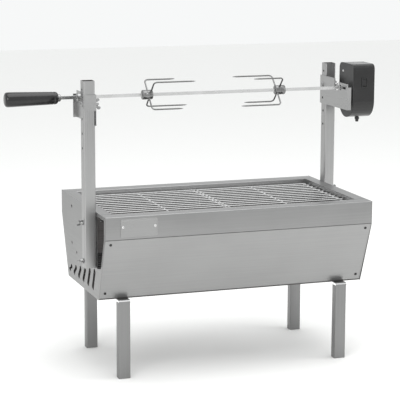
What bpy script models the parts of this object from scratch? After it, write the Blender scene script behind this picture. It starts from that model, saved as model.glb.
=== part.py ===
"""Rotisserie spit roaster: a folded sheet-steel charcoal trough on four channel legs, with two
square posts, a square spit with two forks, a grip at one end and a gear motor at the other.

Frame: metres, +Z up, X along the spit (grip at -X, motor at +X), front is -Y.  The lengths below
are measured from the trough's middle; OX moves the whole model so that the origin is the bottom
centre of its bounding box.
"""
import math

import bmesh
import bpy
from mathutils import Matrix, Vector

# ---- driving dimensions (metres) --------------------------------------------------------------
OX = 0.061            # trough middle to the middle of the overall length
GAP = 0.0003          # running gap kept between pieces
SHEET = 0.0015        # trough, leg and motor bracket sheet
HALF_L = 0.363        # trough half length
HALF_W = 0.212        # trough half width at the rim
RIM_Z = 0.431         # top of the rim
APRON_Z = 0.373       # lower edge of the upright band
FLOOR_Z = 0.2070      # underside of the floor sheet
FLOOR_HALF_W = 0.1475
RIM_FRONT = 0.040     # rim flange, front and rear
RIM_END = 0.030       # rim flange, both ends
RIM_DROP = 0.0165     # depth of the folded-down inner edge
LEDGE = 0.0085        # lip under the grates

POST = 0.030          # square tube
POST_WALL = 0.0015
POST_Y = 0.1185       # post centre, left post at -Y and right post at +Y
POST_BASE_Z = 0.288
POST_TOP_Z = 0.762
HOLE_TOP_Z = 0.7395
HOLE_PITCH = 0.0367
HOLE_R = 0.0034
BASE_BOLTS_Z = (0.404, 0.305)

SPIT_Z = 0.7067
SPIT = 0.008          # square bar
PLATE_T = 0.002
PLATE_LOW_Z = 0.650
PLATE_TOP_Z = 0.728
PLATE_END_Y = 0.046   # how far the bracket plate reaches past the spit

LEG_W = 0.031
LEG_D = 0.022
LEG_X = 0.315         # outer edge of each leg
LEG_FRONT_Y = 0.166   # outer face of each leg

BAR_R = 0.0015
ROD_R = 0.0020
BAR_COUNT = 13
BAR_PITCH = 0.025
GRATE_Z = 0.4198      # centre of the grate bars

MOTOR_X0 = 0.3780
MOTOR_X1 = 0.4410
MOTOR_HALF = 0.045
MOTOR_TOP_Z = 0.772
MOTOR_ARC_Z = 0.671
MOTOR_WALL = 0.0025
GEAR_TEETH = 32
PINION_TEETH = 8
GEAR_MODULE = 0.00175
GEAR_CENTRES = 0.0354

for _o in list(bpy.data.objects):
    bpy.data.objects.remove(_o, do_unlink=True)


# ---- materials --------------------------------------------------------------------------------
def material(name, rgb, metallic, rough):
    m = bpy.data.materials.new(name)
    m.use_nodes = True
    b = m.node_tree.nodes["Principled BSDF"]
    b.inputs["Base Color"].default_value = (*rgb, 1.0)
    b.inputs["Metallic"].default_value = metallic
    b.inputs["Roughness"].default_value = rough
    return m


STEEL = material("brushed_stainless", (0.62, 0.62, 0.63), 1.0, 0.34)
LEG_STEEL = material("leg_stainless", (0.52, 0.52, 0.53), 1.0, 0.38)
CHROME = material("chromed_steel", (0.78, 0.78, 0.80), 1.0, 0.12)
GRATE = material("grate_wire", (0.70, 0.70, 0.70), 1.0, 0.25)
COAL_GRATE = material("charcoal_grate_wire", (0.33, 0.33, 0.33), 1.0, 0.45)
BLACK = material("black_gloss_plastic", (0.012, 0.012, 0.013), 0.0, 0.22)
MOULDED = material("black_matt_plastic", (0.015, 0.015, 0.016), 0.0, 0.45)
BRASS = material("brass_gear", (0.72, 0.52, 0.22), 1.0, 0.35)


# ---- geometry helpers -------------------------------------------------------------------------
def quads(bm, a, b):
    n = len(a)
    for i in range(n):
        j = (i + 1) % n
        bm.faces.new((a[i], a[j], b[j], b[i]))


def prism(bm, pts, axis, a0, a1):
    """Closed outline pts extruded along an axis; the outline's two numbers are the other axes."""
    def place(p, a):
        if axis == "X":
            return Vector((a, p[0], p[1]))
        if axis == "Y":
            return Vector((p[0], a, p[1]))
        return Vector((p[0], p[1], a))
    low = [bm.verts.new(place(p, a0)) for p in pts]
    high = [bm.verts.new(place(p, a1)) for p in pts]
    bm.faces.new(low)
    bm.faces.new(list(reversed(high)))
    quads(bm, list(reversed(low)), list(reversed(high)))


def box(bm, x0, x1, y0, y1, z0, z1):
    prism(bm, [(x0, y0), (x1, y0), (x1, y1), (x0, y1)], "Z", z0, z1)


def ring(centre, u, v, r, n, turn=0.0):
    out = []
    for i in range(n):
        t = turn + 2 * math.pi * i / n
        out.append(centre + u * (r * math.cos(t)) + v * (r * math.sin(t)))
    return out


def sweep(bm, path, radii, n, u=None):
    """Round bar along a path, one radius per point."""
    pts = [Vector(p) for p in path]
    t0 = (pts[1] - pts[0]).normalized()
    if u is None:
        u = t0.orthogonal().normalized()
    rings = []
    for i, p in enumerate(pts):
        if i == 0:
            t = t0
        elif i == len(pts) - 1:
            t = (pts[i] - pts[i - 1]).normalized()
        else:
            t = ((pts[i] - pts[i - 1]).normalized() + (pts[i + 1] - pts[i]).normalized()).normalized()
        u = (u - t * u.dot(t)).normalized()
        v = t.cross(u)
        rings.append([bm.verts.new(q) for q in ring(p, u, v, radii[i], n, math.pi / n)])
    for a, b in zip(rings, rings[1:]):
        quads(bm, a, b)
    bm.faces.new(list(reversed(rings[0])))
    bm.faces.new(rings[-1])


def cylinder(bm, p0, p1, r, n=24):
    sweep(bm, [p0, p1], [r, r], n)


def turned(bm, origin, axis, profile, n=28):
    """Solid of revolution: profile is (distance along the axis, radius)."""
    o, a = Vector(origin), Vector(axis).normalized()
    sweep_pts = [o + a * d for d, _ in profile]
    u = a.orthogonal().normalized()
    v = a.cross(u)
    rings = [[bm.verts.new(q) for q in ring(c, u, v, r, n, math.pi / n)]
             for c, (_, r) in zip(sweep_pts, profile)]
    for p, q in zip(rings, rings[1:]):
        quads(bm, p, q)
    bm.faces.new(list(reversed(rings[0])))
    bm.faces.new(rings[-1])


def bent(points, t):
    """Outline of a sheet of thickness t whose outer side follows the points, in order."""
    left = []
    for i, p in enumerate(points):
        p = Vector(p)
        d = []
        if i > 0:
            d.append((p - Vector(points[i - 1])).normalized())
        if i < len(points) - 1:
            d.append((Vector(points[i + 1]) - p).normalized())
        n = [Vector((-e.y, e.x)) for e in d]
        if len(n) == 1:
            left.append(p + n[0] * t)
        else:
            m = (n[0] + n[1]).normalized()
            left.append(p + m * (t / m.dot(n[0])))
    return [tuple(p) for p in points] + [tuple(p) for p in reversed(left)]


def mesh_of(builder):
    bm = bmesh.new()
    builder(bm)
    bmesh.ops.recalc_face_normals(bm, faces=bm.faces)
    me = bpy.data.meshes.new("m")
    bm.to_mesh(me)
    bm.free()
    return me


def boolean(me, cutters, kind):
    """Exact boolean of a mesh with each cutter mesh in turn."""
    for cut in cutters:
        a = bpy.data.objects.new("a", me)
        b = bpy.data.objects.new("b", cut)
        bpy.context.collection.objects.link(a)
        bpy.context.collection.objects.link(b)
        mod = a.modifiers.new("bool", "BOOLEAN")
        mod.operation = kind
        mod.solver = "EXACT"
        mod.object = b
        dg = bpy.context.evaluated_depsgraph_get()
        dg.update()
        out = bpy.data.meshes.new_from_object(a.evaluated_get(dg))
        bpy.data.objects.remove(a, do_unlink=True)
        bpy.data.objects.remove(b, do_unlink=True)
        me = out
    return me


def node(name, me, mat, smooth=False, turn=False, at=None):
    """Finish one piece: clean, optionally turn half way round the upright axis, move and name it."""
    bm = bmesh.new()
    bm.from_mesh(me)
    bmesh.ops.remove_doubles(bm, verts=bm.verts, dist=1e-6)
    bmesh.ops.dissolve_degenerate(bm, edges=bm.edges, dist=1e-6)
    if turn:
        bmesh.ops.transform(bm, matrix=Matrix.Rotation(math.pi, 4, "Z"), verts=bm.verts)
    place = Vector(at) if at is not None else Vector((0.0, 0.0, 0.0))
    if turn:
        place = Matrix.Rotation(math.pi, 4, "Z") @ place
    bmesh.ops.translate(bm, vec=-place, verts=bm.verts)
    bmesh.ops.recalc_face_normals(bm, faces=bm.faces)
    out = bpy.data.meshes.new(name)
    bm.to_mesh(out)
    bm.free()
    out.materials.clear()
    out.materials.append(mat)
    ob = bpy.data.objects.new(name, out)
    ob.location = place + Vector((OX, 0.0, 0.0))
    bpy.context.collection.objects.link(ob)
    if smooth:
        out.shade_smooth()
        out.set_sharp_from_angle(angle=math.radians(35))
    return ob


def box_cut(*b):
    return mesh_of(lambda bm: box(bm, *b))


def hole_x(y, z, r, x0, x1, n=20):
    return mesh_of(lambda bm: cylinder(bm, (x0, y, z), (x1, y, z), r, n))


def joined(meshes):
    """Several cutters that don't touch, as one mesh."""
    bm = bmesh.new()
    for m in meshes:
        bm.from_mesh(m)
    me = bpy.data.meshes.new("cut")
    bm.to_mesh(me)
    bm.free()
    return me


# ---- trough -----------------------------------------------------------------------------------
def apron(name, turn):
    """Upright band, folded over at the top into the rim flange, an inner drop and a grate lip."""
    outer = [(-HALF_W, APRON_Z), (-HALF_W, RIM_Z), (-HALF_W + RIM_FRONT, RIM_Z),
             (-HALF_W + RIM_FRONT, RIM_Z - RIM_DROP), (-HALF_W + RIM_FRONT + LEDGE, RIM_Z - RIM_DROP)]
    pts = bent([(p[0], p[1]) for p in outer], -SHEET)
    x = HALF_L - SHEET - GAP
    me = mesh_of(lambda bm: prism(bm, pts, "X", -x, x))
    return node(name, me, STEEL, turn=turn)


def sloping_panel(name, turn):
    """Sloping side sheet with a short upright tab behind the apron."""
    y = -HALF_W + SHEET + GAP
    outer = [(y, APRON_Z + 0.018), (y, APRON_Z - 0.0004), (-HALF_W + 0.0006, APRON_Z - 0.0022),
             (-FLOOR_HALF_W + 0.0012, FLOOR_Z + SHEET + GAP)]
    pts = bent(outer, SHEET)
    x = HALF_L - SHEET - GAP
    me = mesh_of(lambda bm: prism(bm, pts, "X", -x, x))
    cuts = [mesh_of(lambda bm, s=s: cylinder(bm, s[0], s[1], 0.0022, 12)) for s in panel_screw_axes()]
    me = boolean(me, [joined(cuts)], "DIFFERENCE")
    return node(name, me, STEEL, turn=turn)


def slope_point(z):
    """Outer face of the sloping side at height z (front side)."""
    y0, z0 = -HALF_W + 0.0006, APRON_Z - 0.0022
    y1, z1 = -FLOOR_HALF_W + 0.0012, FLOOR_Z + SHEET + GAP
    t = (z - z0) / (z1 - z0)
    return y0 + t * (y1 - y0), z


def slope_normal():
    a, b = slope_point(APRON_Z), slope_point(FLOOR_Z)
    d = Vector((0.0, b[0] - a[0], b[1] - a[1])).normalized()
    return Vector((0.0, d.z, -d.y)) if d.z < 0 else Vector((0.0, -d.z, d.y))


def panel_screw_axes():
    n = slope_normal()
    out = []
    for x in (-HALF_L + 0.016, HALF_L - 0.016):
        for z in (APRON_Z - 0.013, FLOOR_Z + 0.017):
            y, _ = slope_point(z)
            p = Vector((x, y, z))
            out.append((p - n * 0.004, p + n * 0.004))
    return out


def end_outline():
    half = [(HALF_W, RIM_Z), (HALF_W, APRON_Z - 0.0022), (FLOOR_HALF_W + 0.0003, FLOOR_Z - 0.0005)]
    return half + [(-y, z) for y, z in reversed(half)]


SLOT_COUNT = 6
SLOT_FIRST_Y = 0.1150
SLOT_STEP = 0.0456
SLOT_W = 0.0180
SLOT_LOW_Z = 0.2210


def slot_outline(i):
    """Air slot with round ends; the slots grow taller towards the front and lean back a little."""
    y = SLOT_FIRST_Y - SLOT_STEP * i
    top = 0.2450 + 0.0072 * i
    lean = 0.0170
    r = SLOT_W / 2
    pts = []
    for k in range(6):
        t = math.pi * k / 5
        pts.append((y + r * math.cos(t), top - r + r * math.sin(t)))
    for k in range(6):
        t = math.pi + math.pi * k / 5
        pts.append((y + lean + r * math.cos(t), SLOT_LOW_Z + r + r * math.sin(t)))
    return pts


COAL_OPENING = [(-0.1375, 0.4220), (-0.2030, 0.4220), (-0.2020, 0.3720), (-0.1715, 0.2925),
                (-0.1375, 0.2860)]


def end_panel(name, turn, coal_opening):
    """End sheet: rim flange with a folded-down inner edge, air slots and holes; the left one also
    has the opening for adding charcoal beside its post."""
    x0, x1 = -HALF_L, -HALF_L + SHEET
    y = HALF_W - RIM_FRONT - GAP
    me = mesh_of(lambda bm: prism(bm, end_outline(), "X", x0, x1))
    flange = bent([(-HALF_L + 0.0005, RIM_Z), (-HALF_L + RIM_END, RIM_Z),
                   (-HALF_L + RIM_END, RIM_Z - RIM_DROP)], -SHEET)
    me = boolean(me, [mesh_of(lambda bm: prism(bm, flange, "Y", -y, y))], "UNION")
    cuts = [mesh_of(lambda bm, i=i: prism(bm, slot_outline(i), "X", x0 - 0.01, x1 + 0.01))
            for i in range(SLOT_COUNT)]
    if coal_opening:
        cuts.append(mesh_of(lambda bm: prism(bm, COAL_OPENING, "X", x0 - 0.01, x1 + 0.01)))
    for z in BASE_BOLTS_Z:
        cuts.append(hole_x(-POST_Y, z, HOLE_R, x0 - 0.01, x1 + 0.01, 12))
        cuts.append(hole_x(0.108, z, 0.0045, x0 - 0.01, x1 + 0.01, 12))
    cuts.append(hole_x(0.060, 0.288, 0.0040, x0 - 0.01, x1 + 0.01, 12))
    me = boolean(me, [joined(cuts)], "DIFFERENCE")
    return node(name, me, STEEL, turn=turn)


def floor_pan():
    x = HALF_L - SHEET - GAP
    me = box_cut(-x, x, -FLOOR_HALF_W, FLOOR_HALF_W, FLOOR_Z, FLOOR_Z + SHEET)
    node("floor_pan", me, STEEL)


def wire_grid(bm_bars, x0, x1, bar_ys, r, n):
    for y in bar_ys:
        cylinder(bm_bars, (x0, y[0], y[1]), (x1, y[0], y[1]), r, n)


def grate(name, x0, x1, rods, z, half_y, bars, r, rod_r, mat):
    """Bars along X resting on, and welded to, cross rods."""
    rod_z = z - r - rod_r + 0.0005
    me = mesh_of(lambda bm: wire_grid(bm, x0, x1, [(y, z) for y in bars], r, 6))
    cross = mesh_of(lambda bm: [cylinder(bm, (x, -half_y, rod_z), (x, half_y, rod_z), rod_r, 6)
                                for x in rods])
    me = boolean(me, [cross], "UNION")
    return node(name, me, mat, smooth=True)


def leg(name, sx, rear):
    """Channel leg, open at the back, with a top flange that reaches in under the floor."""
    x0, x1 = LEG_X - LEG_W, LEG_X
    y0 = LEG_FRONT_Y - LEG_D if rear else -LEG_FRONT_Y
    top = FLOOR_Z - 0.0005 - GAP
    u = [(x0, y0), (x1, y0), (x1, y0 + LEG_D), (x1 - SHEET, y0 + LEG_D),
         (x1 - SHEET, y0 + SHEET), (x0 + SHEET, y0 + SHEET), (x0 + SHEET, y0 + LEG_D), (x0, y0 + LEG_D)]
    me = mesh_of(lambda bm: prism(bm, u, "Z", 0.0, top - 0.0005))
    c0 = y0 - 0.024 if rear else y0
    cap = box_cut(x0, x1, c0, c0 + 0.046, top - SHEET, top)
    me = boolean(me, [cap], "UNION")
    bm = bmesh.new()
    bm.from_mesh(me)
    bmesh.ops.scale(bm, vec=(sx, 1.0, 1.0), verts=bm.verts)
    if sx < 0:
        bmesh.ops.reverse_faces(bm, faces=bm.faces)
    bm.to_mesh(me)
    bm.free()
    return node(name, me, LEG_STEEL)


# ---- posts and spit brackets ------------------------------------------------------------------
def tube_outline(h, r, n):
    pts = []
    for cx, cy, a in ((1, 1, 0), (-1, 1, 90), (-1, -1, 180), (1, -1, 270)):
        for k in range(n + 1):
            t = math.radians(a + 90.0 * k / n)
            pts.append((cx * (h - r) + r * math.cos(t), cy * (h - r) + r * math.sin(t)))
    return pts


def post(name, turn):
    """Square tube with a row of height holes through both side walls."""
    cx = -HALF_L - GAP - POST / 2
    outer = [(cx + p[0], -POST_Y + p[1]) for p in tube_outline(POST / 2, 0.003, 2)]
    h = POST / 2 - POST_WALL
    inner = [(cx + p[0], -POST_Y + p[1]) for p in tube_outline(h, 0.0016, 1)]
    me = mesh_of(lambda bm: prism(bm, outer, "Z", POST_BASE_Z, POST_TOP_Z))
    core = mesh_of(lambda bm: prism(bm, inner, "Z", POST_BASE_Z - 0.01, POST_TOP_Z + 0.01))
    holes = [hole_x(-POST_Y, HOLE_TOP_Z - HOLE_PITCH * k, HOLE_R, cx - 0.02, cx + 0.02, 12)
             for k in range(5)]
    holes += [hole_x(-POST_Y, z, HOLE_R, cx - 0.02, cx + 0.02, 12) for z in BASE_BOLTS_Z]
    me = boolean(me, [core, joined(holes)], "DIFFERENCE")
    return node(name, me, STEEL, smooth=True, turn=turn)


BOLT_Z = HOLE_TOP_Z - HOLE_PITCH
SPARE_Z = BOLT_Z - HOLE_PITCH


def bracket_outline(open_slot):
    """Plate seen along X for the left post; the grip end keeps a U slot for the spit bearing."""
    y0, y1 = -POST_Y - POST / 2 - PLATE_T - GAP, PLATE_END_Y
    pts = [(y0, PLATE_LOW_Z), (y1, PLATE_LOW_Z), (y1, 0.720)]
    if open_slot:
        r = 0.0075
        pts.append((r, 0.720))
        for k in range(9):
            t = -math.pi * k / 8
            pts.append((r * math.cos(t), SPIT_Z + r * math.sin(t)))
        pts.append((-r, 0.720))
    pts.append((-0.0120, 0.720))
    for k in range(7):
        t = -math.pi * k / 6
        pts.append((-0.0250 + 0.013 * math.cos(t), 0.7085 + 0.013 * math.sin(t)))
    pts += [(-0.0380, PLATE_TOP_Z), (y0, PLATE_TOP_Z)]
    return pts


def spit_bracket(name, open_slot, turn):
    """Plate on the post's inner face, with a lip round the post and a stiffening fold at its end."""
    x0 = -HALF_L
    x1 = -HALF_L + PLATE_T
    me = mesh_of(lambda bm: prism(bm, bracket_outline(open_slot), "X", x0, x1))
    y0 = -POST_Y - POST / 2 - PLATE_T - GAP
    lip = box_cut(x0 - 0.029, x0 + 0.001, y0, y0 + PLATE_T, 0.688, PLATE_TOP_Z)
    fold = box_cut(x0 - 0.0095, x0 + 0.001, PLATE_END_Y - PLATE_T, PLATE_END_Y, PLATE_LOW_Z, 0.711)
    me = boolean(me, [lip, fold], "UNION")
    cuts = [hole_x(-POST_Y, z, HOLE_R, x0 - 0.01, x1 + 0.01, 16) for z in (BOLT_Z, SPARE_Z)]
    if not open_slot:
        cuts.append(hole_x(0.0, SPIT_Z, 0.0070, x0 - 0.01, x1 + 0.01, 20))
        cuts.append(box_cut(x0 - 0.01, x1 + 0.01, 0.0125, 0.0345, 0.7045, 0.7110))
    me = boolean(me, [joined(cuts)], "DIFFERENCE")
    return node(name, me, STEEL, turn=turn)


# ---- fastenings -------------------------------------------------------------------------------
def bolt(name, x_head, x_tip, y, z):
    """Round-head bolt along X; the head's flat side sits at x_head."""
    s = 1.0 if x_tip > x_head else -1.0
    head = [(-0.0032 * s, 0.0030), (-0.0028 * s, 0.0052), (-0.0014 * s, 0.0066), (0.0, 0.0070)]
    tip = abs(x_tip - x_head)
    prof = [(abs(d) * -1.0, r) for d, r in head]
    prof += [(0.0, 0.0030), (tip - 0.0010, 0.0030), (tip, 0.0022)]
    me = mesh_of(lambda bm: turned(bm, (x_head, y, z), (s, 0, 0), prof, 12))
    return node(name, me, CHROME, smooth=True, at=(x_head, y, z))


def wing_profile():
    """One wing, seen flat: (distance from the bolt's axis, height along it)."""
    pts = [(0.0035, 0.0012), (0.0062, 0.0016)]
    for k in range(6):
        t = math.radians(-70 + 200 * k / 5)
        pts.append((0.0105 + 0.0042 * math.cos(t), 0.0094 + 0.0046 * math.sin(t)))
    pts += [(0.0058, 0.0072), (0.0035, 0.0066)]
    return pts


def wing_nut(name, x, s, y, z, angle):
    """Wing nut whose flat seat is at x and which faces s along X, turned by angle."""
    hub = mesh_of(lambda bm: turned(bm, (0, 0, 0), (1, 0, 0),
                                    [(0.0, 0.0062), (0.0022, 0.0062), (0.0078, 0.0046)], 12))
    wings = []
    for side in (1.0, -1.0):
        pts = [(h, side * d) for d, h in wing_profile()]
        wings.append(mesh_of(lambda bm, p=pts: prism(bm, [(q[0], q[1]) for q in p], "Z",
                                                    -0.0012, 0.0012)))
    me = boolean(hub, wings, "UNION")
    bore = mesh_of(lambda bm: cylinder(bm, (-0.01, 0, 0), (0.03, 0, 0), 0.0034, 10))
    me = boolean(me, [bore], "DIFFERENCE")
    bm = bmesh.new()
    bm.from_mesh(me)
    bmesh.ops.transform(bm, matrix=Matrix.Rotation(math.radians(angle), 4, "X"), verts=bm.verts)
    if s < 0:
        bmesh.ops.transform(bm, matrix=Matrix.Rotation(math.pi, 4, "Z"), verts=bm.verts)
    bmesh.ops.translate(bm, vec=(x, y, z), verts=bm.verts)
    bm.to_mesh(me)
    bm.free()
    return node(name, me, CHROME, smooth=True, at=(x, y, z))


def panel_screw(name, axis_pair):
    a, b = axis_pair
    mid = (a + b) / 2
    n = (b - a).normalized()
    if n.y > 0:
        n = -n
    prof = [(-0.0040, 0.0016), (GAP, 0.0016), (GAP, 0.0037), (0.0012, 0.0034), (0.0019, 0.0022)]
    me = mesh_of(lambda bm: turned(bm, mid, n, prof, 12))
    return node(name, me, CHROME, smooth=True, at=mid)


# ---- spit, grip and forks ---------------------------------------------------------------------
def square_x(x0, x1, side):
    h = side / 2
    return box_cut(x0, x1, -h, h, SPIT_Z - h, SPIT_Z + h)


SPIT_X0, SPIT_X1 = -0.5480, 0.3950


def spit_rod():
    h = SPIT / 2
    me = mesh_of(lambda bm: sweep(bm, [(SPIT_X0, 0, SPIT_Z), (SPIT_X1 - 0.004, 0, SPIT_Z),
                                       (SPIT_X1, 0, SPIT_Z)],
                                  [h * math.sqrt(2), h * math.sqrt(2), h * 0.9], 4, Vector((0, 1, 0))))
    node("spit_rod", me, CHROME, at=(0, 0, SPIT_Z))


def handle():
    """Turned black grip, thicker at its free end, with a square socket for the spit."""
    prof = [(0.0, 0.0110), (0.0012, 0.0155), (0.0040, 0.0183), (0.0085, 0.0190), (0.0400, 0.0184),
            (0.0900, 0.0171), (0.1260, 0.0162), (0.1340, 0.0154), (0.1375, 0.0130), (0.1380, 0.0100)]
    me = mesh_of(lambda bm: turned(bm, (-0.563, 0, SPIT_Z), (1, 0, 0), prof, 24))
    me = boolean(me, [square_x(SPIT_X0 - 0.0015, -0.41, SPIT + 0.0008)], "DIFFERENCE")
    node("handle_grip", me, BLACK, smooth=True, at=(-0.4250, 0, SPIT_Z))


def ferrule():
    me = mesh_of(lambda bm: turned(bm, (-0.4247, 0, SPIT_Z), (1, 0, 0),
                                   [(0.0, 0.0098), (0.0050, 0.0098), (0.0070, 0.0078)], 24))
    me = boolean(me, [square_x(-0.44, -0.40, SPIT + 0.0008)], "DIFFERENCE")
    node("handle_ferrule", me, CHROME, smooth=True, at=(-0.4247, 0, SPIT_Z))


def spit_bearing():
    """Grooved bearing ring that sits in the left bracket's U slot."""
    prof = [(-0.0115, 0.0085), (-0.0105, 0.0100), (-0.0016, 0.0100), (-0.0010, 0.0069),
            (0.0030, 0.0069), (0.0036, 0.0100), (0.0070, 0.0100), (0.0080, 0.0090)]
    me = mesh_of(lambda bm: turned(bm, (-HALF_L, 0, SPIT_Z), (1, 0, 0), prof, 28))
    me = boolean(me, [square_x(-HALF_L - 0.03, -HALF_L + 0.03, SPIT + 0.0008)], "DIFFERENCE")
    node("spit_bearing", me, CHROME, smooth=True, at=(-HALF_L, 0, SPIT_Z))


FORK_COLLAR = 0.028
TINE_OFF = 0.035
TINE_R = 0.0020


def tine_path(x, y, z, length):
    """From the collar out to the corner (y, z), round a bend, then along +X to a point."""
    r0 = 0.0095
    out = Vector((0, y, z)).normalized()
    start = Vector((x, 0, SPIT_Z)) + out * r0
    corner = Vector((x, y, SPIT_Z + z))
    bend = 0.009
    pts = [start, corner - out * bend]
    for k in (1, 2, 3):
        t = math.radians(30 * k)
        pts.append(corner - out * bend * (1 - math.sin(t)) + Vector((bend * (1 - math.cos(t)), 0, 0)))
    end = corner + Vector((length, 0, 0))
    pts += [end - Vector((0.012, 0, 0)), end]
    return pts, [TINE_R] * (len(pts) - 1) + [0.0006]


def fork(name, x_outer, turn):
    """Collar on the square spit with four welded wire tines: a long pair and a short pair."""
    cx = x_outer
    prof = [(0.0, 0.0115), (0.0012, 0.0125), (FORK_COLLAR - 0.0012, 0.0125), (FORK_COLLAR, 0.0115)]
    me = mesh_of(lambda bm: turned(bm, (cx, 0, SPIT_Z), (1, 0, 0), prof, 24))

    def tines(bm):
        for y, z, x, length in ((-TINE_OFF, TINE_OFF, cx + 0.0225, 0.1130),
                                (TINE_OFF, -TINE_OFF, cx + 0.0225, 0.1130),
                                (TINE_OFF, TINE_OFF, cx + 0.0175, 0.0840),
                                (-TINE_OFF, -TINE_OFF, cx + 0.0175, 0.0840)):
            pts, radii = tine_path(x, y, z, length)
            sweep(bm, pts, radii, 8)
    me = boolean(me, [mesh_of(tines)], "UNION")
    bore = square_x(cx - 0.01, cx + FORK_COLLAR + 0.01, SPIT + 0.0008)
    hole = mesh_of(lambda bm: cylinder(bm, (cx + 0.009, 0.0, SPIT_Z), (cx + 0.009, -0.03, SPIT_Z),
                                       0.0030, 14))
    me = boolean(me, [bore, hole], "DIFFERENCE")
    return node(name, me, CHROME, smooth=True, turn=turn, at=(cx, 0, SPIT_Z))


def fork_screw(name, x_outer, turn):
    """Thumb screw that clamps the fork's collar on the spit."""
    x = x_outer + 0.009
    prof = [(0.0046, 0.0024), (0.0155, 0.0024), (0.0155, 0.0050), (0.0175, 0.0062),
            (0.0225, 0.0062), (0.0235, 0.0052)]
    me = mesh_of(lambda bm: turned(bm, (x, 0, SPIT_Z), (0, -1, 0), prof, 16))
    wings = mesh_of(lambda bm: prism(bm, [(x - 0.0100, SPIT_Z - 0.0012), (x + 0.0100, SPIT_Z - 0.0012),
                                          (x + 0.0100, SPIT_Z + 0.0012), (x - 0.0100, SPIT_Z + 0.0012)],
                                     "Y", -0.0300, -0.0200))
    me = boolean(me, [wings], "UNION")
    return node(name, me, CHROME, smooth=True, turn=turn, at=(x, 0, SPIT_Z))


# ---- motor ------------------------------------------------------------------------------------
def motor_outline(shrink):
    h = MOTOR_HALF - shrink
    top = MOTOR_TOP_Z - shrink
    r = 0.014 - shrink
    pts = []
    for k in range(5):
        t = math.radians(90.0 * k / 4)
        pts.append((h - r + r * math.cos(t), top - r + r * math.sin(t)))
    for k in range(5):
        t = math.radians(90 + 90.0 * k / 4)
        pts.append((-h + r + r * math.cos(t), top - r + r * math.sin(t)))
    for k in range(17):
        t = math.radians(180 + 180.0 * k / 16)
        pts.append((h * math.cos(t), MOTOR_ARC_Z + h * math.sin(t)))
    return pts


SWITCH_X, SWITCH_Z = 0.4120, 0.7230


def motor():
    wall = MOTOR_WALL
    cover = mesh_of(lambda bm: prism(bm, motor_outline(0.0), "X", MOTOR_X0, MOTOR_X0 + wall))
    cover = boolean(cover, [hole_x(0.0, SPIT_Z, 0.0115, MOTOR_X0 - 0.01, MOTOR_X0 + 0.01, 24)],
                    "DIFFERENCE")
    node("motor_cover", cover, MOULDED)
    x0 = MOTOR_X0 + wall + GAP
    shell = mesh_of(lambda bm: prism(bm, motor_outline(0.0), "X", x0, MOTOR_X1))
    hollow = mesh_of(lambda bm: prism(bm, motor_outline(wall), "X", x0 - 0.01, MOTOR_X1 - wall))
    window = box_cut(SWITCH_X - 0.0065, SWITCH_X + 0.0065, -MOTOR_HALF - 0.01, -MOTOR_HALF + 0.01,
                     SWITCH_Z - 0.0105, SWITCH_Z + 0.0105)
    shell = boolean(shell, [hollow, window], "DIFFERENCE")
    node("motor_housing", shell, BLACK)
    can_z = SPIT_Z + GEAR_CENTRES
    can = mesh_of(lambda bm: turned(bm, (0.3980, 0, can_z), (1, 0, 0),
                                    [(0.0, 0.0150), (0.0010, 0.0175), (0.0392, 0.0175),
                                     (0.0402, 0.0150)], 24))
    node("motor_can", can, STEEL, smooth=True)
    for i, (y, z) in enumerate(((-0.030, 0.668), (0.030, 0.668))):
        me = mesh_of(lambda bm: cylinder(bm, (HALF_L + GAP, y, z), (MOTOR_X0 - GAP, y, z), 0.0050, 16))
        node(("motor_spacer_front", "motor_spacer_rear")[i], me, CHROME, smooth=True)
    gland = mesh_of(lambda bm: turned(bm, (0.4120, 0, 0.6252), (0, 0, -1),
                                      [(0.0, 0.0050), (0.0020, 0.0050), (0.0020, 0.0065),
                                       (0.0050, 0.0065), (0.0060, 0.0050), (0.0130, 0.0040)], 20))
    gland = boolean(gland, [mesh_of(lambda bm: cylinder(bm, (0.4120, 0, 0.64), (0.4120, 0, 0.60),
                                                        0.0028, 14))], "DIFFERENCE")
    node("cord_gland", gland, MOULDED, smooth=True)


def rocker():
    """Rocker key with two flats that meet at its pivot line; it rests with its lower end pressed."""
    y = -MOTOR_HALF
    pts = [(y + 0.0040, -0.0085), (y + 0.0040, 0.0085), (y - 0.0005, 0.0092), (y - 0.0004, 0.0),
           (y - 0.0005, -0.0092)]
    pts = [(p[0], p[1]) for p in pts]
    me = mesh_of(lambda bm: prism(bm, pts, "X", SWITCH_X - 0.0058, SWITCH_X + 0.0058))
    bm = bmesh.new()
    bm.from_mesh(me)
    pivot = Vector((SWITCH_X, y + 0.0020, 0.0))
    bmesh.ops.rotate(bm, cent=pivot, matrix=Matrix.Rotation(math.radians(-6), 3, "X"), verts=bm.verts)
    bmesh.ops.translate(bm, vec=(0, 0, SWITCH_Z), verts=bm.verts)
    bm.to_mesh(me)
    bm.free()
    node("power_switch", me, BLACK, at=(SWITCH_X, y + 0.0020, SWITCH_Z))


def gear_outline(teeth, turn, cy, cz, add, ded, width):
    """Straight-sided teeth: radii from the pitch circle, width as a part of half the pitch."""
    pr = GEAR_MODULE * teeth / 2
    step = 2 * math.pi / teeth
    pts = []
    for i in range(teeth):
        a = turn + i * step
        half = step / 4 * width
        for d, r in ((-half * 1.55, pr - ded), (-half * 0.62, pr + add), (half * 0.62, pr + add),
                     (half * 1.55, pr - ded)):
            pts.append((cy + r * math.sin(a + d), cz + r * math.cos(a + d)))
    return pts


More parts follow.
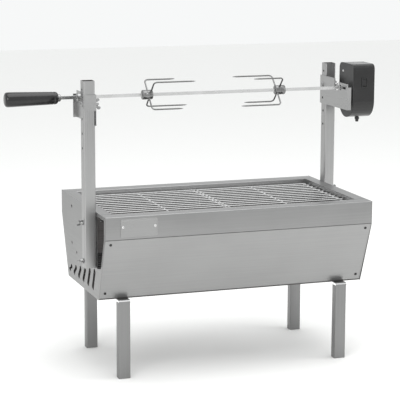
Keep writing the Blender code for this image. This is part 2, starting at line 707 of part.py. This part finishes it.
def gear_train():
    """Drive sleeve with a square socket, its ring gear, and the motor's pinion."""
    sleeve = mesh_of(lambda bm: turned(bm, (HALF_L + 0.0016, 0, SPIT_Z), (1, 0, 0),
                                       [(0.0, 0.0092), (0.0008, 0.0100), (0.0345, 0.0100)], 28))
    sleeve = boolean(sleeve, [square_x(HALF_L - 0.01, SPIT_X1 + 0.0015, SPIT + 0.0008)], "DIFFERENCE")
    node("drive_sleeve", sleeve, CHROME, smooth=True, at=(HALF_L, 0, SPIT_Z))
    ring_gear = gear_outline(GEAR_TEETH, 0.0, 0.0, SPIT_Z, 0.0009, 0.0016, 0.80)
    me = mesh_of(lambda bm: prism(bm, ring_gear, "X", 0.3850, 0.3920))
    me = boolean(me, [hole_x(0.0, SPIT_Z, 0.0104, 0.37, 0.40, 28)], "DIFFERENCE")
    node("output_gear", me, BRASS, at=(0.3850, 0, SPIT_Z))
    cz = SPIT_Z + GEAR_CENTRES
    small = gear_outline(PINION_TEETH, math.pi + math.pi / PINION_TEETH, 0.0, cz, 0.0009, 0.0016, 0.80)
    me = mesh_of(lambda bm: prism(bm, small, "X", 0.3846, 0.3924))
    shaft = mesh_of(lambda bm: cylinder(bm, (0.3838, 0, cz), (0.3976, 0, cz), 0.0020, 12))
    me = boolean(me, [shaft], "UNION")
    node("motor_pinion", me, BRASS, at=(0.3850, 0, cz))


def name_plate():
    me = box_cut(-0.3230, -0.2260, -HALF_W - GAP - 0.0008, -HALF_W - GAP, 0.3785, 0.4235)
    node("name_plate", me, STEEL)


# ---- build ------------------------------------------------------------------------------------
apron("front_apron", False)
apron("rear_apron", True)
sloping_panel("front_panel", False)
sloping_panel("rear_panel", True)
end_panel("left_end_panel", False, True)
end_panel("right_end_panel", True, False)
floor_pan()

BARS = [(-(BAR_COUNT - 1) / 2 + i) * BAR_PITCH for i in range(BAR_COUNT)]
grate("grill_grate_left", -0.3280, -0.0012, (-0.3240, -0.1640, -0.0052), GRATE_Z, 0.1690, BARS,
      BAR_R, ROD_R, GRATE)
grate("grill_grate_right", 0.0012, 0.3280, (0.0052, 0.1640, 0.3240), GRATE_Z, 0.1690, BARS,
      BAR_R, ROD_R, GRATE)
COAL_BARS = [(-5 + i) * 0.0255 for i in range(11)]
grate("charcoal_grate", -0.3560, 0.3560, (-0.3400, -0.1200, 0.1200, 0.3400), 0.2660, 0.1642,
      COAL_BARS, 0.0025, 0.0025, COAL_GRATE)

leg("front_left_leg", -1.0, False)
leg("front_right_leg", 1.0, False)
leg("rear_left_leg", -1.0, True)
leg("rear_right_leg", 1.0, True)

post("left_post", False)
post("right_post", True)
spit_bracket("left_spit_bracket", True, False)
spit_bracket("right_motor_bracket", False, True)

OUT = HALF_L + GAP + POST
bolt("left_bracket_bolt", -OUT - GAP, -HALF_L + 0.0130, -POST_Y, BOLT_Z)
wing_nut("left_bracket_wing_nut", -HALF_L + PLATE_T + GAP, 1.0, -POST_Y, BOLT_Z, 62.0)
bolt("right_bracket_bolt", HALF_L - PLATE_T - GAP, OUT + 0.0130, POST_Y, BOLT_Z)
wing_nut("right_bracket_wing_nut", OUT + GAP, 1.0, POST_Y, BOLT_Z, 28.0)
for tag, z, turn_a, turn_b in (("upper", BASE_BOLTS_Z[0], 38.0, 75.0), ("lower", BASE_BOLTS_Z[1], 8.0, 50.0)):
    bolt("left_post_%s_bolt" % tag, -HALF_L + SHEET + GAP, -OUT - 0.0120, -POST_Y, z)
    wing_nut("left_post_%s_wing_nut" % tag, -OUT - GAP, -1.0, -POST_Y, z, turn_a)
    bolt("right_post_%s_bolt" % tag, HALF_L - SHEET - GAP, OUT + 0.0120, POST_Y, z)
    wing_nut("right_post_%s_wing_nut" % tag, OUT + GAP, 1.0, POST_Y, z, turn_b)
for tag, pair in zip(("left_upper", "left_lower", "right_upper", "right_lower"), panel_screw_axes()):
    panel_screw("panel_screw_" + tag, pair)

spit_rod()
handle()
ferrule()
spit_bearing()
fork("left_fork", -0.2005, False)
fork("right_fork", -0.1975, True)
fork_screw("left_fork_screw", -0.2005, False)
fork_screw("right_fork_screw", -0.1975, True)
motor()
rocker()
gear_train()
name_plate()
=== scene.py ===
"""Looks of the charcoal spit roaster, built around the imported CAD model: metres, +Z up."""
import math

import bmesh
import bpy
from mathutils import Matrix, Vector


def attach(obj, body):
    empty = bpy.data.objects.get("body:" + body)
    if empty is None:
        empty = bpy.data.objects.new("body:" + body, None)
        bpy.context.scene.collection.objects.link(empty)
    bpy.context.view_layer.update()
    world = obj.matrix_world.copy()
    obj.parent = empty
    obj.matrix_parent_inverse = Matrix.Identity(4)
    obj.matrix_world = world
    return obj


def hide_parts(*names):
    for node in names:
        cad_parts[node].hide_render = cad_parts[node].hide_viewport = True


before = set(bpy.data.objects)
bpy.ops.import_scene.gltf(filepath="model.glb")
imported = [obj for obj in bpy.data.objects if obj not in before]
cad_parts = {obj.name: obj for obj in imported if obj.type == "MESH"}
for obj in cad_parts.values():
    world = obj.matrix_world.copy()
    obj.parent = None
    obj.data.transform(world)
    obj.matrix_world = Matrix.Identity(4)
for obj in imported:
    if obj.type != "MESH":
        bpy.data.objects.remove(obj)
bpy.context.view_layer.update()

OX = 0.061                 # middle of the trough along X
RIM_Z = 0.431              # top of the rim
HALF_L = 0.363             # half the rim's length
HALF_W = 0.212             # half the rim's width
SPIT_Z = 0.7067            # height of the spit's axis
SHEET_T = 0.0015           # thickness of bands and legs
POST_X = 0.3783            # middle of each post from the middle of the trough
POST_Y = 0.1185
BORE_HALF = 0.0140         # a little over half the bore of a post
LEG_OUTER_X = 0.315        # outer side of each leg from the middle of the trough
LEG_W, LEG_D = 0.031, 0.022
LEG_TAB_TOP = 0.2062
MOTOR_SIDE_X = 0.4409      # outer side of the motor's cover
TINE_R = 0.0020


# ---- materials --------------------------------------------------------------------------------
def shader(name, rgb, metallic, rough):
    m = bpy.data.materials.new(name)
    m.use_nodes = True
    b = m.node_tree.nodes["Principled BSDF"]
    b.inputs["Base Color"].default_value = (*rgb, 1.0)
    b.inputs["Metallic"].default_value = metallic
    b.inputs["Roughness"].default_value = rough
    return m, m.node_tree, b


def noise(nt, scale, size, detail, rough=0.5):
    """Noise over the object's own coordinates, stretched by a scale per axis."""
    tc = nt.nodes.new("ShaderNodeTexCoord")
    mp = nt.nodes.new("ShaderNodeMapping")
    mp.inputs["Scale"].default_value = scale
    n = nt.nodes.new("ShaderNodeTexNoise")
    n.inputs["Scale"].default_value = size
    n.inputs["Detail"].default_value = detail
    n.inputs["Roughness"].default_value = rough
    nt.links.new(tc.outputs["Object"], mp.inputs["Vector"])
    nt.links.new(mp.outputs["Vector"], n.inputs["Vector"])
    return n.outputs["Fac"]


def spread(nt, fac, lo, hi, out_lo, out_hi):
    r = nt.nodes.new("ShaderNodeMapRange")
    r.inputs["From Min"].default_value = lo
    r.inputs["From Max"].default_value = hi
    r.inputs["To Min"].default_value = out_lo
    r.inputs["To Max"].default_value = out_hi
    nt.links.new(fac, r.inputs["Value"])
    return r.outputs["Result"]


def tint(nt, fac, a, b):
    r = nt.nodes.new("ShaderNodeValToRGB")
    r.color_ramp.elements[0].position = 0.25
    r.color_ramp.elements[0].color = (*a, 1.0)
    r.color_ramp.elements[1].position = 0.75
    r.color_ramp.elements[1].color = (*b, 1.0)
    nt.links.new(fac, r.inputs["Fac"])
    return r.outputs["Color"]


def total(nt, a, b):
    s = nt.nodes.new("ShaderNodeMath")
    s.operation = "ADD"
    nt.links.new(a, s.inputs[0])
    nt.links.new(b, s.inputs[1])
    return s.outputs["Value"]


def bump(nt, b, height, strength, distance):
    n = nt.nodes.new("ShaderNodeBump")
    n.inputs["Strength"].default_value = strength
    n.inputs["Distance"].default_value = distance
    nt.links.new(height, n.inputs["Height"])
    nt.links.new(n.outputs["Normal"], b.inputs["Normal"])


def brushed(name, grey, along, rough, warm=0.0, contrast=0.05, metallic=1.0):
    """Satin sheet: fine grain along one axis, broad clouding and a few rubbed patches."""
    fine = {"X": (4.0, 420.0, 420.0), "Y": (420.0, 4.0, 420.0), "Z": (420.0, 420.0, 4.0)}[along]
    m, nt, b = shader(name, (grey, grey, grey), metallic, rough)
    grain = noise(nt, fine, 1.0, 3.0, 0.6)
    cloud = noise(nt, (1.0, 1.0, 1.0), 7.0, 3.0)
    mixed = total(nt, spread(nt, grain, 0.2, 0.8, 0.0, 0.62),
                  spread(nt, cloud, 0.3, 0.7, 0.0, 0.38))
    lo, hi = grey - contrast, grey + contrast
    colour = tint(nt, mixed, (lo + warm, lo, lo - warm * 0.5), (hi + warm, hi, hi))
    nt.links.new(colour, b.inputs["Base Color"])
    nt.links.new(spread(nt, mixed, 0.2, 0.8, rough - 0.06, rough + 0.08), b.inputs["Roughness"])
    bump(nt, b, grain, 0.12, 0.0002)
    b.inputs["Anisotropic"].default_value = 0.35
    return m


def polished(name, grey, rough, size=60.0, metallic=1.0):
    """Plated bar or fastening: bright, with slight handling marks."""
    m, nt, b = shader(name, (grey, grey, grey), metallic, rough)
    marks = noise(nt, (1.0, 1.0, 1.0), size, 4.0, 0.6)
    colour = tint(nt, marks, (grey * 0.9,) * 3, (min(grey * 1.06, 1.0),) * 3)
    nt.links.new(colour, b.inputs["Base Color"])
    nt.links.new(spread(nt, marks, 0.3, 0.75, rough * 0.7, rough * 1.7), b.inputs["Roughness"])
    bump(nt, b, marks, 0.05, 0.0002)
    return m


def plastic(name, grey, rough, grain, depth):
    """Black moulding with a fine grain and slightly uneven gloss."""
    m, nt, b = shader(name, (grey, grey, grey), 0.0, rough)
    fine = noise(nt, (1.0, 1.0, 1.0), grain, 2.0)
    broad = noise(nt, (1.0, 1.0, 1.0), 25.0, 3.0)
    colour = tint(nt, broad, (grey * 0.8,) * 3, (grey * 1.35, grey * 1.35, grey * 1.4))
    nt.links.new(colour, b.inputs["Base Color"])
    nt.links.new(spread(nt, broad, 0.3, 0.7, rough - 0.05, rough + 0.08), b.inputs["Roughness"])
    bump(nt, b, fine, depth, 0.0002)
    return m


def even(name, rgb, metallic, rough, size, detail, rough_lo, rough_hi):
    """One colour with a slightly uneven roughness."""
    m, nt, b = shader(name, rgb, metallic, rough)
    cloud = noise(nt, (1.0, 1.0, 1.0), size, detail)
    nt.links.new(spread(nt, cloud, 0.3, 0.7, rough_lo, rough_hi), b.inputs["Roughness"])
    return m


# Painted light and shade: the sheets, bands, end sheets, posts, brackets and legs are one satin steel,
# each given a lighter or darker grey to match how brightly that part is lit; the grain direction is their
# real difference.
SHEET_X = brushed("satin_sheet_lengthwise", 0.335, "X", 0.36, contrast=0.018)
BAND = brushed("satin_band_lengthwise", 0.305, "X", 0.36, contrast=0.016)
SHEET_Y = brushed("satin_sheet_crosswise", 0.285, "Y", 0.36, contrast=0.018)
SHEET_Z = brushed("satin_tube_upright", 0.37, "Z", 0.33, contrast=0.025)
BRACKET = brushed("satin_bracket", 0.38, "Y", 0.32, contrast=0.02)
LEG = brushed("satin_leg", 0.25, "Z", 0.38, contrast=0.018)
# Painted shade: the same steel as the sheets, made dark to stand for the shade inside the trough, the
# posts and the floor pan.
PAINTED_SHADE = brushed("painted_shade_inner_sheet", 0.110, "X", 0.50, warm=0.006, contrast=0.03)
PLATE = brushed("blank_plate", 0.33, "X", 0.30, contrast=0.01)
GRATE = polished("grate_wire_bright", 0.80, 0.24)
COAL = polished("coal_grate_dull", 0.10, 0.42)
# Painted highlight: a far lighter grey than the legs, for the forward-and-up faces of each leg's top
# bend, standing for the light the bend catches.
BEND_HIGHLIGHT = brushed("leg_bend_painted_highlight", 0.72, "X", 0.30, contrast=0.02)
CHROME = polished("plated_steel", 0.30, 0.20)
FORK = polished("fork_wire", 0.20, 0.26)
SPIT = polished("spit_bar", 0.62, 0.24, size=14.0)
SCREW = polished("dark_screw", 0.06, 0.35)
GLOSS = plastic("grip_black", 0.010, 0.20, 900.0, 0.03)
MATT = plastic("moulded_black", 0.014, 0.42, 1400.0, 0.12)
BRASS = even("gear_brass", (0.70, 0.50, 0.21), 1.0, 0.33, 90.0, 3.0, 0.25, 0.45)

LOOKS = {
    "front_panel": SHEET_X, "rear_panel": SHEET_X,
    "front_apron": BAND, "rear_apron": BAND,
    "left_end_panel": SHEET_Y, "right_end_panel": SHEET_Y,
    "left_spit_bracket": BRACKET, "right_motor_bracket": BRACKET,
    "left_post": SHEET_Z, "right_post": SHEET_Z,
    # The floor pan is given the painted-shade look all over.
    "floor_pan": PAINTED_SHADE, "name_plate": PLATE, "charcoal_grate": COAL, "spit_rod": SPIT,
    "handle_grip": GLOSS, "motor_housing": GLOSS, "power_switch": GLOSS,
    "motor_cover": MATT, "cord_gland": MATT,
    "output_gear": BRASS, "motor_pinion": BRASS,
}


def look_of(name):
    """Material of a CAD node; fastenings and other small steel are plated."""
    if name.endswith("_leg"):
        return LEG
    if name.startswith("grill_grate"):
        return GRATE
    if name.startswith("panel_screw"):
        return SCREW
    return LOOKS.get(name, CHROME)


for name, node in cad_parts.items():
    node.data.materials.clear()
    node.data.materials.append(look_of(name))


def inner_faces(name, test):
    """Give the faces that the test picks the dark painted-shade look."""
    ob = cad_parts[name]
    ob.data.materials.append(PAINTED_SHADE)
    for p in ob.data.polygons:
        if test(p.center, p.normal):
            p.material_index = 1


def inside_of_band(side):
    """Test for the inner side of a lengthwise band and the underside of its flange, which get painted
    shade.
    """
    return lambda c, n: (n.y * side < -0.5 and abs(c.y) > 0.2) or n.z < -0.5


def inside_of_end(side):
    """Test for the inner side of an end sheet and the underside of its flange, which get painted shade.
    """
    return lambda c, n: (n.x * side < -0.5 and abs(c.x - OX) > 0.355) or n.z < -0.5


def bore_of_post(side):
    """Test for the walls inside a square post, which get painted shade."""
    return lambda c, n: (abs(c.x - OX - side * POST_X) < BORE_HALF
                         and abs(c.y - side * POST_Y) < BORE_HALF)


# Painted shade on the inner faces of the sloping sheets, bands, end sheets and post bores.
for tag, side in (("front", -1.0), ("rear", 1.0)):
    inner_faces(tag + "_panel", lambda c, n: n.y * side < -0.3)
    inner_faces(tag + "_apron", inside_of_band(side))
for tag, side in (("left", -1.0), ("right", 1.0)):
    inner_faces(tag + "_end_panel", inside_of_end(side))
    inner_faces(tag + "_post", bore_of_post(side))


# ---- detail pieces ----------------------------------------------------------------------------
def finished(name, bm, mat, body, smooth_angle=40.0, inner=None):
    """Turn a bmesh into a named piece that rides on a CAD body."""
    bmesh.ops.recalc_face_normals(bm, faces=bm.faces)
    me = bpy.data.meshes.new(name)
    bm.to_mesh(me)
    bm.free()
    me.materials.append(mat)
    # Faces that inner picks get the dark painted-shade look.
    if inner:
        me.materials.append(PAINTED_SHADE)
        for p in me.polygons:
            if inner(p.center, p.normal):
                p.material_index = 1
    me.shade_smooth()
    me.set_sharp_from_angle(angle=math.radians(smooth_angle))
    ob = bpy.data.objects.new(name, me)
    bpy.context.scene.collection.objects.link(ob)
    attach(ob, body)
    return ob


def loft(bm, rings, closed=True):
    """Skin between rings of points; closed adds the two end caps."""
    vs = [[bm.verts.new(p) for p in r] for r in rings]
    for a, b in zip(vs, vs[1:]):
        n = len(a)
        for i in range(n):
            j = (i + 1) % n
            bm.faces.new((a[i], a[j], b[j], b[i]))
    if closed:
        bm.faces.new(list(reversed(vs[0])))
        bm.faces.new(vs[-1])


def circle(o, u, v, r, n):
    """Ring of n points, with no point on either axis."""
    turns = [2 * math.pi * (i + 0.5) / n for i in range(n)]
    return [o + u * (r * math.cos(t)) + v * (r * math.sin(t)) for t in turns]


def lathe(bm, o, axis, profile, n=40):
    """Turned solid: the profile gives distance along the axis and radius."""
    o, a = Vector(o), Vector(axis).normalized()
    u = a.orthogonal().normalized()
    v = a.cross(u)
    loft(bm, [circle(o + a * d, u, v, max(r, 0.00005), n) for d, r in profile])


def tube(bm, pts, radii, n=14):
    """Round wire along a path, with a radius at each point."""
    pts = [Vector(p) for p in pts]
    rings = []
    t0 = (pts[1] - pts[0]).normalized()
    u = t0.orthogonal().normalized()
    for i, p in enumerate(pts):
        a = (pts[i] - pts[i - 1]).normalized() if i else t0
        b = (pts[i + 1] - pts[i]).normalized() if i < len(pts) - 1 else a
        t = (a + b).normalized()
        u = (u - t * u.dot(t)).normalized()
        rings.append(circle(p, u, t.cross(u), radii[i], n))
    loft(bm, rings)


def rounded(points, r, n=5):
    """A bent line with each corner turned into an arc of radius r."""
    pts = [Vector(p) for p in points]
    out = [pts[0]]
    for i in range(1, len(pts) - 1):
        a, p, b = pts[i - 1], pts[i], pts[i + 1]
        d0, d1 = (p - a).normalized(), (b - p).normalized()
        turn = math.acos(max(-1.0, min(1.0, d0.dot(d1))))
        cut = min(r * math.tan(turn / 2), (p - a).length * 0.45, (b - p).length * 0.45)
        rr = cut / math.tan(turn / 2)
        side = 1.0 if d0.x * d1.y - d0.y * d1.x > 0 else -1.0
        normal = Vector((-d0.y, d0.x)) * side
        c = p - d0 * cut + normal * rr
        for k in range(n + 1):
            t = turn * k / n * side
            arm = -normal
            out.append(c + Vector((arm.x * math.cos(t) - arm.y * math.sin(t),
                                   arm.x * math.sin(t) + arm.y * math.cos(t))) * rr)
    return out + [pts[-1]]


def sheet_outline(points, t, r):
    """Closed outline of a folded sheet around a centre line."""
    line = rounded(points, r)
    left, right = [], []
    for i, p in enumerate(line):
        a = (p - line[i - 1]).normalized() if i else (line[1] - p).normalized()
        b = (line[i + 1] - p).normalized() if i < len(line) - 1 else a
        d = (a + b).normalized()
        n = Vector((-d.y, d.x)) * (t / 2)
        left.append(p + n)
        right.append(p - n)
    return left + list(reversed(right))


def band(tag, side):
    """Upright band with rounded folds: rim flange, inner drop and the lip under the grates."""
    h = SHEET_T / 2
    line = [(-HALF_W + h, 0.373), (-HALF_W + h, RIM_Z - h), (-HALF_W + 0.040 - h, RIM_Z - h),
            (-HALF_W + 0.040 - h, RIM_Z - 0.0165 - h), (-HALF_W + 0.0485, RIM_Z - 0.0165 - h)]
    pts = sheet_outline(line, SHEET_T, 0.0020)
    half = HALF_L - 0.0018
    bm = bmesh.new()
    loft(bm, [[Vector((OX + x, p.x * -side, p.y)) for p in pts] for x in (-half, half)])
    ob = finished(tag + "_band", bm, BAND, "trough", 50.0, inside_of_band(side))
    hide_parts(tag + "_apron")


def leg(name, sx, rear):
    """Channel leg open at the back, its top bent back into a tab riveted to the floor."""
    h = SHEET_T / 2
    x0, x1 = LEG_OUTER_X - LEG_W, LEG_OUTER_X
    y0 = 0.144 if rear else -0.166
    line = [(x0 + h, y0 + LEG_D), (x0 + h, y0 + h), (x1 - h, y0 + h), (x1 - h, y0 + LEG_D)]
    pts = sheet_outline(line, SHEET_T, 0.0025)
    bm = bmesh.new()
    loft(bm, [[Vector((OX + sx * p.x, p.y, z)) for p in pts] for z in (0.0, 0.1990)])

    def tab(line, r):
        outline = sheet_outline(line, SHEET_T, r)
        loft(bm, [[Vector((OX + sx * x, p.x, p.y)) for p in outline]
                  for x in (x0 + 0.0004, x1 - 0.0004)])

    top = LEG_TAB_TOP - h
    tab([(y0 + h, 0.1985), (y0 + h, top), (y0 + LEG_D if rear else y0 + 0.046, top)], 0.0050)
    if rear:
        tab([(0.120, top), (0.1432, top), (0.1452, top)], 0.0010)
    ob = finished("%s_channel" % name, bm, LEG, "trough", 35.0)
    # The forward-and-up faces of the top bend get the painted highlight.
    ob.data.materials.append(BEND_HIGHLIGHT)
    for p in ob.data.polygons:
        if p.normal.z > 0.15 and p.normal.y < -0.15:
            p.material_index = 1
    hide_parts(name)
    bm = bmesh.new()
    ry = 0.130 if rear else -0.132
    for x in (x0 + 0.009, x1 - 0.009):
        lathe(bm, (OX + sx * x, ry, 0.2047), (0, 0, -1),
              [(-0.0004, 0.0036), (0.0006, 0.0036), (0.0016, 0.0026), (0.0021, 0.0010)], 18)
    ob = finished("%s_rivets" % name, bm, CHROME, "trough")


def grip():
    """Turned black grip: swelling end with a soft shoulder, a narrow bead and a moulded seam."""
    prof = [(0.0, 0.004), (0.0001, 0.0095), (0.0006, 0.0130), (0.0018, 0.0160), (0.0040, 0.0180),
            (0.0070, 0.0188), (0.0110, 0.0190), (0.0260, 0.0188), (0.0500, 0.0182), (0.0780, 0.0174),
            (0.1060, 0.0167), (0.1240, 0.0163), (0.1255, 0.0157), (0.1270, 0.0157), (0.1285, 0.0163),
            (0.1320, 0.0160), (0.1350, 0.0150), (0.1370, 0.0132), (0.1379, 0.0110), (0.1380, 0.0070)]
    bm = bmesh.new()
    lathe(bm, (OX - 0.563, 0, SPIT_Z), (1, 0, 0), prof, 56)
    ob = finished("grip_turned", bm, GLOSS, "spit", 60.0)
    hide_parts("handle_grip")


def tine(s, y, z, x, length):
    """Wire from the collar to a corner, round a bend and along the spit to a ground point."""
    out = Vector((0, y, z)).normalized()
    corner = Vector((x, y, z))
    bend = 0.009
    pts = [Vector((x, 0, 0)) + out * 0.0095, corner - out * bend]
    for k in range(1, 9):
        t = math.radians(90 * k / 8)
        pts.append(corner - out * bend * (1 - math.sin(t)) + Vector((bend * (1 - math.cos(t)), 0, 0)))
    end = corner + Vector((length, 0, 0))
    pts += [end - Vector((0.014, 0, 0)), end - Vector((0.005, 0, 0)), end]
    radii = [TINE_R] * (len(pts) - 2) + [0.0013, 0.0003]
    if s > 0:
        pts = [Vector((-p.x, -p.y, p.z)) for p in pts]
    return [p + Vector((OX, 0, SPIT_Z)) for p in pts], radii


def fork(side, cx):
    """Collar with turned shoulders, four smooth tines and a weld bead at the foot of each."""
    s = 1.0 if side == "right" else -1.0
    bm = bmesh.new()
    prof = [(0.0, 0.0105), (0.0006, 0.0118), (0.0016, 0.0125), (0.0120, 0.0125), (0.0124, 0.0121),
            (0.0132, 0.0121), (0.0136, 0.0125), (0.0264, 0.0125), (0.0274, 0.0118), (0.0280, 0.0105)]
    lathe(bm, (OX + s * -cx, 0, SPIT_Z), (-s, 0, 0), prof, 36)
    for y, z, x, length in ((-0.035, 0.035, cx + 0.0225, 0.1130), (0.035, -0.035, cx + 0.0225, 0.1130),
                            (0.035, 0.035, cx + 0.0175, 0.0840), (-0.035, -0.035, cx + 0.0175, 0.0840)):
        pts, radii = tine(s, y, z, x, length)
        tube(bm, pts, radii)
        d = (pts[1] - pts[0]).normalized()
        foot = pts[0] + d * 0.0032
        lathe(bm, foot - d * 0.0022, d,
              [(0.0, 0.0034), (0.0016, 0.0036), (0.0032, 0.0029), (0.0042, 0.0021)], 16)
    ob = finished("%s_fork_welded" % side, bm, FORK, "%s_fork" % side)
    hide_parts("%s_fork" % side)


def rounded_rect(y0, y1, z0, z1, r, n=6):
    """Corner-rounded rectangle as a list of point pairs."""
    pts = []
    for cy, cz, a in ((y1 - r, z1 - r, 0), (y0 + r, z1 - r, 90),
                      (y0 + r, z0 + r, 180), (y1 - r, z0 + r, 270)):
        for k in range(n + 1):
            t = math.radians(a + 90.0 * k / n)
            pts.append((cy + r * math.cos(t), cz + r * math.sin(t)))
    return pts


def name_plate():
    """Blank plate with round corners, a pressed border line and two domed rivets."""
    y = -HALF_W - 0.0003

    def ring(inset, depth, r):
        outline = rounded_rect(-0.323 + inset, -0.226 - inset, 0.3785 + inset, 0.4235 - inset, r)
        return [Vector((OX + px, y - depth, pz)) for px, pz in outline]

    bm = bmesh.new()
    loft(bm, [ring(0.0, 0.0, 0.004), ring(0.0, 0.0005, 0.004), ring(0.0003, 0.0008, 0.0037),
              ring(0.0018, 0.0008, 0.0024), ring(0.0022, 0.0005, 0.0021), ring(0.0030, 0.0005, 0.0014),
              ring(0.0034, 0.0008, 0.0011)])
    ob = finished("blank_plate_pressed", bm, PLATE, "trough", 30.0)
    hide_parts("name_plate")
    bm = bmesh.new()
    for x in (-0.3165, -0.2325):
        lathe(bm, (OX + x, y - 0.0006, 0.4040), (0, -1, 0),
              [(0.0, 0.0036), (0.0006, 0.0035), (0.0013, 0.0027), (0.0017, 0.0014), (0.0018, 0.0003)], 24)
    ob = finished("plate_rivets", bm, SPIT, "trough")


def domed(bm, at, axis, profile):
    """Small screw head or lamp."""
    lathe(bm, at, axis, profile, 20)


def motor_details():
    """Screws, vent ribs, a switch bezel and a lamp on the motor."""
    bm = bmesh.new()
    w, hh = 0.024, 0.0016
    for z in (0.676, 0.682, 0.688, 0.694, 0.700):
        rings = []
        for dx, i, j in ((-0.0006, 0.0, 0.0), (0.0006, 0.0004, 0.0005)):
            corners = ((-w + i, -hh + j), (w - i, -hh + j), (w - i, hh - j), (-w + i, hh - j))
            rings.append([Vector((OX + 0.4410 + dx, y, z + dz)) for y, dz in corners])
        loft(bm, rings)
    ob = finished("motor_vent_ribs", bm, MATT, "trough", 20.0)

    bm = bmesh.new()
    for y, z in ((-0.034, 0.760), (0.034, 0.760), (-0.030, 0.650), (0.030, 0.650)):
        domed(bm, (OX + MOTOR_SIDE_X, y, z), (1, 0, 0),
              [(0.0, 0.0032), (0.0006, 0.0031), (0.0012, 0.0022), (0.0013, 0.0004)])
    domed(bm, (OX + 0.3781, 0.020, 0.750), (-1, 0, 0),
          [(0.0, 0.0030), (0.0008, 0.0029), (0.0016, 0.0018), (0.0018, 0.0003)])
    ob = finished("motor_screws", bm, GRATE, "trough")

    bm = bmesh.new()
    x, y, z = OX + 0.412, -0.045, 0.723
    hw, hh, wall = 0.0088, 0.0128, 0.0021
    outer = [Vector((x + a, y, z + b)) for a, b in rounded_rect(-hw, hw, -hh, hh, 0.002)]
    lift = [p + Vector((0, -0.0016, 0)) for p in outer]
    inner = [Vector((x + a, y - 0.0016, z + b))
             for a, b in rounded_rect(-hw + wall, hw - wall, -hh + wall, hh - wall, 0.0006)]
    low = [p + Vector((0, 0.0016, 0)) for p in inner]
    loft(bm, [outer, lift, inner, low], closed=False)
    ob = finished("switch_bezel", bm, MATT, "trough", 30.0)


def rear_screws():
    """The rear sloping sheet is screwed at the same four corners as the front one."""
    a = Vector((0.0, 0.2114, 0.3708))
    b = Vector((0.0, 0.1463, 0.2088))
    d = (b - a).normalized()
    n = Vector((0.0, -d.z, d.y))
    bm = bmesh.new()
    for x in (-0.347, 0.347):
        for z in (0.360, 0.224):
            p = a + (b - a) * ((a.z - z) / (a.z - b.z)) + Vector((OX + x, 0, 0))
            domed(bm, p - n * 0.0004, n,
                  [(0.0, 0.0037), (0.0010, 0.0035), (0.0019, 0.0024), (0.0021, 0.0004)])
    ob = finished("rear_panel_screws", bm, SCREW, "trough")


band("front", -1.0)
band("rear", 1.0)
for tag, sx, rear in (("front_left_leg", -1.0, False), ("front_right_leg", 1.0, False),
                      ("rear_left_leg", -1.0, True), ("rear_right_leg", 1.0, True)):
    leg(tag, sx, rear)
grip()
fork("left", -0.2005)
fork("right", -0.1975)
name_plate()
motor_details()
rear_screws()


# ---- camera, floor and light ------------------------------------------------------------------
def look_rotation(direction, roll):
    """Rotation of a camera or lamp that faces along a direction."""
    d = direction.normalized()
    right = d.cross(Vector((0, 0, 1))).normalized()
    up = right.cross(d)
    c, s = math.cos(roll), math.sin(roll)
    r2 = right * c + up * s
    u2 = up * c - right * s
    return Matrix((r2, u2, -d)).transposed()


az, el, roll = math.radians(19.34), math.radians(10.4323), math.radians(0.1984)
distance = 4.3021
heading = Vector((math.sin(az) * math.cos(el), math.cos(az) * math.cos(el), -math.sin(el)))
target = Vector((-0.0399 + OX, 0.0, 0.4204))
cam_data = bpy.data.cameras.new("camera")
cam_data.sensor_width = 36.0
cam_data.lens = 145.835
cam_data.clip_end = 50.0
cam = bpy.data.objects.new("camera", cam_data)
cam.matrix_world = (Matrix.Translation(target - heading * distance)
                    @ look_rotation(heading, roll).to_4x4())
bpy.context.scene.collection.objects.link(cam)
bpy.context.scene.camera = cam


def floor():
    """Plain pale floor under the roaster."""
    me = bpy.data.meshes.new("floor")
    bm = bmesh.new()
    bmesh.ops.create_grid(bm, x_segments=8, y_segments=8, size=9.0)
    bm.to_mesh(me)
    bm.free()
    ob = bpy.data.objects.new("studio_floor", me)
    me.materials.append(even("studio_floor", (0.93, 0.93, 0.92), 0.0, 0.75, 3.0, 2.0, 0.70, 0.80))
    bpy.context.scene.collection.objects.link(ob)


floor()


def area(name, at, to, w, h, watts):
    """Rectangular soft light that faces a point."""
    d = bpy.data.lights.new(name, "AREA")
    d.shape = "RECTANGLE"
    d.size = w
    d.size_y = h
    d.energy = watts
    ob = bpy.data.objects.new(name, d)
    v = Vector(to) - Vector(at)
    ob.matrix_world = Matrix.Translation(Vector(at)) @ look_rotation(v, 0.0).to_4x4()
    bpy.context.scene.collection.objects.link(ob)


area("overhead_soft", (0.2, -0.3, 3.0), (0.0, 0.0, 0.3), 3.0, 2.4, 45.0)
area("front_left_soft", (-2.4, -3.0, 1.8), (0.0, 0.0, 0.4), 1.8, 1.8, 42.0)
area("right_soft", (3.2, -1.2, 1.6), (0.1, 0.0, 0.4), 1.6, 2.0, 24.0)

world = bpy.data.worlds.new("studio")
world.use_nodes = True
sky = world.node_tree.nodes["Background"]
sky.inputs["Color"].default_value = (0.93, 0.94, 0.94, 1.0)
sky.inputs["Strength"].default_value = 1.0
bpy.context.scene.world = world
bpy.context.scene.view_settings.view_transform = "Standard"
